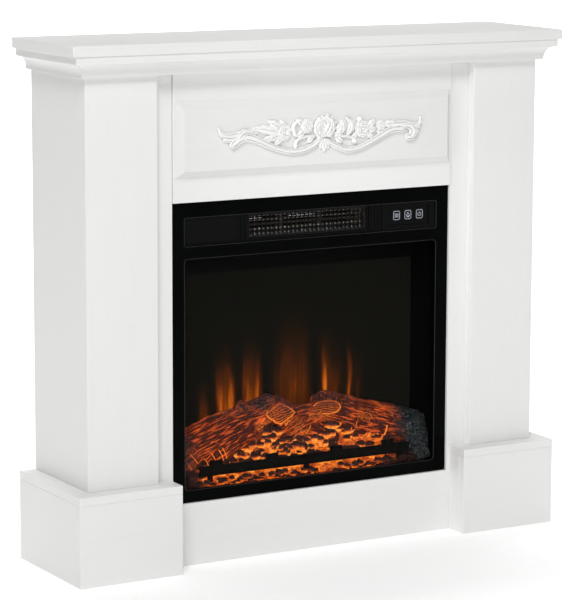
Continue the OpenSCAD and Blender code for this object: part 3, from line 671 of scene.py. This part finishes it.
def build_garland():
    """One closed casting that stands on the raised panel."""
    low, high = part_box("garland_onlay")
    centre = (low + high) / 2
    middle_z = (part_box("raised_panel")[0].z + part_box("raised_panel")[1].z) / 2
    half_x, margin = (high.x - low.x) / 2 / MM, 1
    foot, top, pitch = -29, 33, 0.5
    xs = np.arange(-half_x - margin, half_x + margin + pitch, pitch)
    zs = np.arange(foot, top, pitch)
    x, z = np.meshgrid(xs, zs, indexing="ij")
    r = Relief(x, z)
    sculpt_garland(r)
    height = np.clip(r.height, -0.6, None)
    for axis in (0, 1):
        height = 0.7 * height + 0.15 * (np.roll(height, 1, axis) + np.roll(height, -1, axis))
    height = np.minimum(height, (high.y - low.y) / MM - 0.05)
    # A place is a recess where it lies below the mean height round it; the deeper it lies, the more painted
    # shade it gets
    mean = height
    for step in (1, 2, 3):
        for axis in (0, 1):
            mean = (mean + np.roll(mean, step, axis) + np.roll(mean, -step, axis)) / 3
    deepest = 1.6
    recess_shade = np.clip((mean - height) / deepest, 0, 1)
    verts, faces = close_relief(xs, zs, height)
    spots = [(round((a - xs[0]) / pitch), round((b - zs[0]) / pitch)) for a, b, h in verts]
    points = [(centre.x + a * MM, high.y - h * MM, middle_z + b * MM) for a, b, h in verts]
    piece = new_piece("garland", points, faces, cast_white(), "white_foil")
    set_attribute(piece.data, "recess_shade", "FLOAT", [recess_shade[spot] for spot in spots])
    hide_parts("garland_onlay")


def close_relief(xs, zs, height):
    """The raised part of a height grid as one closed mesh of (x, z, height) points."""
    base = -0.5
    raised = height > 0
    keep = raised[:-1, :-1] | raised[1:, :-1] | raised[:-1, 1:] | raised[1:, 1:]
    index = {}
    verts = []

    def vertex(i, j, top):
        key = (i, j, top)
        if key not in index:
            index[key] = len(verts)
            verts.append((xs[i], zs[j], max(height[i, j], base + 0.1) if top else base))
        return index[key]

    faces = []
    cells = set(zip(*np.nonzero(keep)))
    for i, j in cells:
        corners = [(i, j), (i, j + 1), (i + 1, j + 1), (i + 1, j)]
        faces.append([vertex(a, b, True) for a, b in reversed(corners)])
        faces.append([vertex(a, b, False) for a, b in corners])
        for k, (di, dj) in enumerate(((-1, 0), (0, 1), (1, 0), (0, -1))):
            if (i + di, j + dj) not in cells:
                a, b = corners[k], corners[(k + 1) % 4]
                faces.append([vertex(*a, True), vertex(*b, True), vertex(*b, False), vertex(*a, False)])
    return verts, faces


# ---------------------------------------- fire

# The space that the fire may fill, in millimetres: half its width, the depth of its back, its floor,
# and the depth of its front below the grate bar's foot and above it
FIRE_HALF, FIRE_BACK, FIRE_FLOOR = 213.5, 82, 93
FRONT_LOW, FRONT_HIGH, BAR_FOOT = 141.5, 134.5, 121


def smooth_step(value, low, high):
    """0 at low and 1 at high, with an easy start and end; low may be the larger."""
    t = min(max((value - low) / (high - low), 0.0), 1.0)
    return t * t * (3 - 2 * t)


def fire_glow(point):
    """How much light from below reaches a point of the logs, from 0 to 1."""
    x, z = point.x / MM, point.z / MM
    middle = -12
    sides = smooth_step(abs(x - middle), 196, 158)
    crest = smooth_step(z, 228, 186)
    return sides * (0.18 + 0.82 * crest)


# Logs: two ends as (x, depth, z), the radius at each end, height for its width, roundness (2 is an
# oval and 1 a diamond), how far the middle bends up, a seed, and the places along it, from 0 to 1,
# where a ring glows
LOGS = [
    ((-212, 102, 148), (-36, 100, 202), 28, 22, 1, 2, 3, 1, ()),
    ((212, 102, 150), (44, 102, 198), 23, 24, 1, 2, 0, 2, ()),
    ((-158, 110, 136), (-66, 108, 178), 19, 16, 1, 2, 3, 3, (0.12, 0.24, 0.3)),
    ((-40, 104, 146), (40, 106, 190), 17, 16, 1, 2, 2, 4, ()),
    ((196, 111, 142), (92, 110, 168), 19, 16, 1, 2, 1, 5, (0.5,)),
    ((-212, 108, 124), (-176, 110, 156), 24, 22, 1, 2, 0, 6, (0.55, 0.8)),
    ((206, 118, 106), (194, 110, 168), 25, 23, 1, 2, 0, 7, ()),
    ((-30, 100, 205), (-40, 130, 200), 24, 24, 0.72, 1.25, 0, 8, ()),
    ((56, 100, 207), (42, 128, 201), 24, 23, 0.52, 2, 0, 9, ()),
    ((-94, 102, 202), (-88, 108, 216), 12, 8, 1, 2, 0, 10, (0.6,)),
    ((64, 110, 150), (14, 110, 172), 13, 13, 1, 2, 0, 11, ()),
    ((-22, 108, 188), (34, 108, 190), 13, 14, 1, 2, 2, 12, ()),
    ((70, 106, 178), (120, 108, 162), 18, 16, 1, 2, 0, 13, ()),
]
# Rings across an end face, from its middle out: share of the radius, and whether the ring glows
CAP = [(0.02, 0), (0.3, 0), (0.6, 0), (0.8, 0), (0.87, 1), (0.93, 1), (0.985, 0)]


def log_stations(length, bands):
    """Where the rings of a log's mesh lie: place along it, share of the radius, and glow."""
    count = max(14, int(length / (1.5 * MM)))
    body = []
    for k in range(count + 1):
        t = k / count
        hot = any(abs(t - band) < 0.6 / count for band in bands)
        body.append((t, 1.0, 1.0 if hot else 0.0))
    start = [(0.0, share, hot) for share, hot in CAP]
    end = [(1.0, share, hot) for share, hot in reversed(CAP)]
    return start + body + end


def bark_relief(place, hot):
    """How much a log swells, as a share of its radius, and how far its bark stands out, in metres."""
    def field(along, across):
        return noise.noise(Vector((place.x * along, place.y * across, place.z * across)))

    ridges, plates, grit = field(30, 230), field(110, 120), field(330, 330)
    bark = 1.9 * abs(ridges) + 1.3 * plates + 0.7 * grit - 0.8 * hot
    return 0.15 * field(16, 34), bark * MM


def log_mesh(start, end, r0, r1, tall, roundness, bend, seed, bands):
    """Vertices, faces, straightened places, glow and seams of one log, with bark and split ends.

    Saw marks lie level across an oval end face and slope across a diamond."""
    a, b = at(*start), at(*end)
    axis = (b - a).normalized()
    side = axis.cross(Vector((0, 0, 1) if abs(axis.z) < 0.8 else (0, 1, 0))).normalized()
    up = side.cross(axis) * tall
    length = (b - a).length
    tilt = 0.6 if roundness < 2 else 0.0
    around, split = 90, 2.6
    verts, straight, glow, seams = [], [], [], []
    stations = log_stations(length, bands)
    for t, shrink, hot in stations:
        radius = (r0 + (r1 - r0) * t) * MM
        middle = a + (b - a) * t + Vector((0, 0, bend * MM * math.sin(math.pi * t)))
        for k in range(around):
            angle = 2 * math.pi * k / around
            c, s = math.cos(angle), math.sin(angle)
            corner = (abs(c) ** roundness + abs(s) ** roundness) ** (-1 / roundness)
            place = Vector((t * length + seed * 0.37, radius * c, radius * s))
            swell, bark = bark_relief(place, hot)
            out = radius * corner * (1 + swell) + bark
            # An end face steps in and out where the wood split
            push = (1 - shrink) * split * MM * noise.noise(Vector((c * 2.3, s * 2.3, seed)))
            point = middle + (side * c + up * s) * out * shrink + axis * (push if t < 0.5 else -push)
            verts.append(point)
            # On an end face the first part is an even -1, which the bark's finish reads as sawn wood
            along = place.x if shrink == 1 else -1
            level = place.z + tilt * place.y
            straight.append(Vector((along, place.y * shrink, level * shrink)))
            glow.append(fire_glow(point))
            seams.append(hot)
    return verts, tube_faces(0, len(stations), around), straight, glow, seams


def inside_firebox(point):
    """Keeps a point of the fire clear of the casing, the screen and the grate bar."""
    side = FIRE_HALF * MM
    front = at(0, FRONT_HIGH if point.z > BAR_FOOT * MM else FRONT_LOW, 0).y
    back = at(0, FIRE_BACK, 0).y
    x = min(max(point.x, -side), side)
    y = min(max(point.y, front), back)
    return Vector((x, y, max(point.z, FIRE_FLOOR * MM)))


def build_logs():
    """The whole set of logs as one casting."""
    verts, faces, straight, glow, seams = [], [], [], [], []
    for log in LOGS:
        v, f, s, g, h = log_mesh(*log)
        offset = len(verts)
        verts += [inside_firebox(p) for p in v]
        faces += [tuple(i + offset for i in face) for face in f]
        straight += s
        glow += g
        seams += h
    piece = new_piece("fire_logs", verts, faces, bark_material(), "log_ceramic")
    set_attribute(piece.data, "straight", "FLOAT_VECTOR", [tuple(s) for s in straight])
    set_attribute(piece.data, "glow", "FLOAT", glow)
    set_attribute(piece.data, "seam", "FLOAT", seams)
    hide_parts("log_set")


def pile_height(x, depth):
    """Height of the ember bed: a low ledge in front and heaps against the logs, in millimetres."""
    ledge = 113 + 6 * smooth_step(depth, FRONT_HIGH, 130)
    slope = 22 * smooth_step(depth, 129, 114)
    # Each heap as its middle, half width and height
    heaps = ((-52, 42, 34), (66, 52, 36), (134, 30, 10))
    rise = sum(height * math.exp(-((x - middle) / wide) ** 2) for middle, wide, height in heaps)
    return ledge + slope + rise * smooth_step(depth, 130, 116)


def lump(verts, faces, glow, centre, size, seed, heat):
    """A coal: a rounded cube whose faces are cut flat at odd angles."""
    rings, around = 9, 12
    stretch, cut_at, corner_at = 1.25, 0.78, 1.25
    offset = len(verts)
    yaw = Matrix.Rotation(noise.random() * 6.28, 3, "Z")
    turn = yaw @ Matrix.Rotation(noise.random() * 6.28, 3, "X")
    sides = ((1, 0, 0.2), (-1, 0.3, 0), (0, 1, -0.3), (0.2, -1, 0), (0.3, 0.2, 1), (0, -0.3, -1), (1, 1, 1))
    cuts = [turn @ Vector(side).normalized() for side in sides]
    for i in range(rings + 1):
        tilt = math.pi * i / rings
        for k in range(around):
            angle = 2 * math.pi * k / around
            level = math.sin(tilt)
            ray = Vector((level * math.cos(angle), level * math.sin(angle), math.cos(tilt)))
            reach = min(cut_at / max(ray.dot(cut), 0.2) for cut in cuts)
            reach = min(reach, corner_at) * (1 + 0.16 * noise.noise(ray * 3 + Vector((seed, seed, 0))))
            point = centre + Vector((ray.x * size * stretch, ray.y * size, ray.z * size)) * reach
            verts.append(inside_firebox(point))
            # Painted light: each coal glows most on its underside, as if lit from the bed below
            under = smooth_step(ray.z, 0.45, -0.35)
            glow.append(heat * (0.1 + 0.9 * under))
    for i in range(rings):
        first, second = offset + i * around, offset + (i + 1) * around
        for k in range(around):
            n = (k + 1) % around
            faces.append((first + k, second + k, second + n, first + n))


def lay_bed(verts, faces, glow):
    """The glowing bed: a bumpy surface with a skirt down to the casing floor, closed underneath."""
    columns, rows = 280, 46
    middle, half, front, back = -14, 211, 137, 86
    for j in range(rows + 1):
        depth = front - (front - back) * j / rows
        for i in range(columns + 1):
            x = -half + 2 * half * i / columns
            z = pile_height(x, depth) + 2.4 * noise.noise(Vector((x * 0.09, depth * 0.09, 0)))
            verts.append(at(x, depth, z))
            patch = noise.noise(Vector((x * 0.05, depth * 0.05, 4)))
            glow.append(smooth_step(abs(x - middle), 200, 140) * (0.7 + 0.3 * patch))
    wide = columns + 1
    for j in range(rows):
        for i in range(columns):
            a = j * wide + i
            faces.append((a, a + 1, a + wide + 1, a + wide))
    rim = (list(range(wide)) + [j * wide + columns for j in range(1, rows + 1)]
           + [rows * wide + i for i in range(columns - 1, -1, -1)]
           + [j * wide for j in range(rows - 1, 0, -1)])
    foot = len(verts)
    for i in rim:
        verts.append(Vector((verts[i].x, verts[i].y, FIRE_FLOOR * MM)))
        glow.append(0.0)
    for k in range(len(rim)):
        n = (k + 1) % len(rim)
        faces.append((rim[n], rim[k], foot + k, foot + n))
    faces.append(tuple(foot + k for k in reversed(range(len(rim)))))


def heap_coals(verts, faces, glow):
    """Separate coals: every third one in a low row behind the glass, the others on the slope."""
    count, middle, half = 390, -14, 207
    for n in range(count):
        x = -half + 2 * half * noise.random()
        in_front = n % 3 == 0
        size = 3.6 + 2 * noise.random() if in_front else 4.5 + 4 * noise.random()
        if in_front:
            depth, z = FRONT_LOW - 1 - size, 101 + 14 * noise.random()
        else:
            depth = 114 + 14 * noise.random()
            z = pile_height(x, depth)
        heat = smooth_step(abs(x - middle), 196, 120) * (0.72 if in_front else 1)
        lump(verts, faces, glow, at(x, depth, z), size * MM, n * 1.7, heat)


def build_embers():
    """The glowing bed, with coals heaped on it."""
    noise.seed_set(7)
    verts, faces, glow = [], [], []
    lay_bed(verts, faces, glow)
    heap_coals(verts, faces, glow)
    piece = new_piece("ember_coals", verts, faces, coal_material(), "log_ceramic", smooth=False)
    set_attribute(piece.data, "glow", "FLOAT", glow)
    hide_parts("ember_bed")


# ---------------------------------------- control strip

def rod(verts, faces, line, radius, sides=8, closed=False):
    """Adds a round wire along a line to verts and faces; radius is one number, or one for each point."""
    offset = len(verts)
    count = len(line)
    radii = radius if isinstance(radius, tuple) else (radius,) * count
    for i, point in enumerate(line):
        before = line[(i - 1) % count] if closed or i else point
        after = line[(i + 1) % count] if closed or i < count - 1 else point
        axis = (after - before).normalized()
        side = axis.cross(Vector((0, 1, 0.01))).normalized()
        up = side.cross(axis)
        for k in range(sides):
            angle = 2 * math.pi * k / sides
            verts.append(point + radii[i] * (side * math.cos(angle) + up * math.sin(angle)))
    faces += tube_faces(offset, count, sides, closed)


def build_outlet_mesh():
    """Cross wires woven through the guard, with a bright bead of weld at each crossing."""
    low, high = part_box("outlet_grille")
    steel = sheet_metal("cross_wire", (0.12, 0.115, 0.11), 0.35)
    weld = sheet_metal("weld_bead", (0.86, 0.84, 0.8), 0.3)
    wires, beads = ([], []), ([], [])
    crossings, steps = 28, 8
    wire_y = high.y + 0.8 * MM
    # A bead of size 1 as places along it and its radius there
    profile = ((-1.5, 0.3), (-1, 0.8), (0, 1), (1, 0.8), (1.5, 0.3))
    # Each wire as its share of the guard's height and the size of its beads
    for share, size in ((0.17, 1.15), (0.36, 1.3), (0.74, 0.95), (0.9, 0.75)):
        z = low.z + share * (high.z - low.z)
        line = []
        for i in range(crossings * steps + 1):
            t = i / (crossings * steps)
            wave = math.sin(math.pi * crossings * t)
            x = low.x + (high.x - low.x) * (0.01 + 0.98 * t)
            line.append(Vector((x, wire_y - 0.7 * MM * wave, z + 0.3 * MM * wave)))
            if i % steps == steps / 2 and steps < i < (crossings - 1) * steps:
                axis = Vector((0.5 * size * MM, 0, 0))
                rod(*beads, [line[-1] + axis * along for along, radius in profile],
                    tuple(radius * size * MM for along, radius in profile))
        rod(*wires, line, 0.45 * MM, 6)
    new_piece("outlet_mesh", *wires, steel, "zinc_steel")
    new_piece("outlet_beads", *beads, weld, "zinc_steel")


def rounded_outline(width, height, radius, steps=6):
    """Points round a rectangle with rounded corners, centred on the origin."""
    points = []
    for cx, cz, start in ((1, 1, 0), (-1, 1, 90), (-1, -1, 180), (1, -1, 270)):
        for k in range(steps + 1):
            angle = math.radians(start + 90 * k / steps)
            points.append((cx * (width / 2 - radius) + radius * math.cos(angle),
                           cz * (height / 2 - radius) + radius * math.sin(angle)))
    return points


def arc(radius, start, end, steps=14, centre=(0, 0)):
    """Points along part of a circle, from one angle to another, in degrees."""
    angles = [math.radians(start + (end - start) * k / steps) for k in range(steps + 1)]
    return [(centre[0] + radius * math.cos(a), centre[1] + radius * math.sin(a)) for a in angles]


def icon_lines(kind):
    """The strokes of a button's icon, each a line of (x, z) points and whether it closes."""
    border = (rounded_outline(10.6, 12.4, 2.2), True)
    if kind == "power":
        return [border, (arc(2.7, 125, 415), False), ([(0, 0.6), (0, 3.6)], False)]
    if kind == "flame":
        drop = [(0, 3.8), (1.2, 1.8), (2.5, 0.2), (2.6, -1.8), (1.3, -3.4), (-1.3, -3.4), (-2.6, -1.8),
                (-2.2, 0.2), (-1.0, 1.0), (-0.9, 2.4)]
        return [border, (drop, True), (arc(0.9, 200, 520, 8, (0.1, -1.9)), False)]
    waves = [([(x + 0.7 * math.sin(1.6 * z), z) for z in (-3.2 + 0.5 * k for k in range(14))], False)
             for x in (-2.4, 0, 2.4)]
    return [border] + waves


def build_icons():
    """Printed icons, each riding on its own button."""
    paint = icon_print_glow()
    stroke, proud = 0.36, 0.02
    for kind in ("heat", "flame", "power"):
        low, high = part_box("button_" + kind)
        centre_x, centre_z = (low.x + high.x) / 2, (low.z + high.z) / 2
        verts, faces = [], []
        for points, closed in icon_lines(kind):
            line = [Vector((centre_x + x * MM, low.y - proud * MM, centre_z + z * MM)) for x, z in points]
            rod(verts, faces, line, stroke * MM, 6, closed)
        new_piece("icon_" + kind, verts, faces, paint, "tinted_glass", kind + "_button")


def build_window_lip():
    """A fine bead round the window and the control strip, where the moulding turns in."""
    low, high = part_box("front_bezel")
    rim, margin = 20.3, 0.6
    # Each opening as its foot, its top and the radius of its corners
    openings = ((109, 442, 6), (460, 500.5, 2.6))
    gloss = moulded_plastic("gloss_black", (0.004, 0.0045, 0.005), 0.24, 0.4)
    verts, faces = [], []
    width = (high.x - low.x) / MM - 2 * rim
    for foot, top, radius in openings:
        line = [Vector((x * MM, low.y + 0.4 * MM, (foot + top) / 2 * MM + z * MM))
                for x, z in rounded_outline(width + margin, top - foot + margin, radius, 8)]
        rod(verts, faces, line, 0.55 * MM, 10, True)
    new_piece("window_lip", verts, faces, gloss, "black_trim")


# ---------------------------------------- assembly

def paint_nodes():
    """Gives every CAD node its finish; a board without one of its own gets foil, grained its long way."""
    foil = {grain: white_foil("white_foil_" + grain, grain) for grain in "xz"}
    board = raw_board()
    zinc = sheet_metal("zinc", (0.6, 0.61, 0.63), 0.38)
    bright = sheet_metal("reflector", (0.82, 0.82, 0.82), 0.22)
    coat = powder_coat("black_coat", (0.0004, 0.0004, 0.0004))
    iron = powder_coat("iron", (0.0035, 0.0033, 0.003), 0.75)
    moulding = moulded_plastic("black_moulding", (0.0016, 0.0018, 0.002), 0.42)
    wire = sheet_metal("dark_wire", (0.02, 0.02, 0.02), 0.4, "z")
    circuit = circuit_board()
    groups = (
        (board, "sub_top insert_shelf corner_blocks"),
        (zinc, "wall_brackets screws mounting_brackets blower_housing blower_motor spindle_motor"),
        (bright, "flame_mask flame_spindle thermal_cutout"),
        (moulding, "control_fascia control_plate button_heat button_flame button_power"),
        (moulding, "cord_gland spindle_bush blower_wheel"),
        (coat, "casing_back casing_left casing_right casing_top casing_bottom heater_deck"),
        (circuit, "led_strips control_board"),
        (wire, "outlet_grille"),
        (iron, "grate_bar"),
        (satin_black(), "front_bezel"),
        (clear_glass(), "front_glass"),
        (flame_screen(), "flame_screen"),
        # The raised panel's foil is a copy darkened to 95%: painted shade, so the garland shows lighter
        # against it
        (white_foil("shaded_panel_foil", "x", 0.95), "raised_panel"),
        (mica(), "heating_element"),
    )
    finishes = {name: finish for finish, names in groups for name in names.split()}
    upright = ("column_", "stile_")
    for name, piece in NODES.items():
        finish = finishes.get(name) or foil["z" if name.startswith(upright) else "x"]
        piece.data.materials.clear()
        piece.data.materials.append(finish)


def round_edges():
    """Softens the edges of the boards and the mouldings that show."""
    # Width and segments of the rounding, and how the names of its nodes start
    kinds = (
        (0.7, 3, ("column_", "stile_", "plinth_", "kick_", "frieze_", "mantel_")),
        (0.5, 2, ("raised_panel", "crown_")),
        (0.9, 3, ("front_bezel",)),
        (0.6, 3, ("button_",)),
        (0.25, 2, ("control_plate", "control_fascia", "grate_bar")),
    )
    for width, segments, starts in kinds:
        for name in NODES:
            if name.startswith(starts):
                soften(name, width, segments)


add_camera()
add_studio()
paint_nodes()
round_edges()
build_garland()
build_logs()
build_embers()
build_outlet_mesh()
build_window_lip()
build_icons()
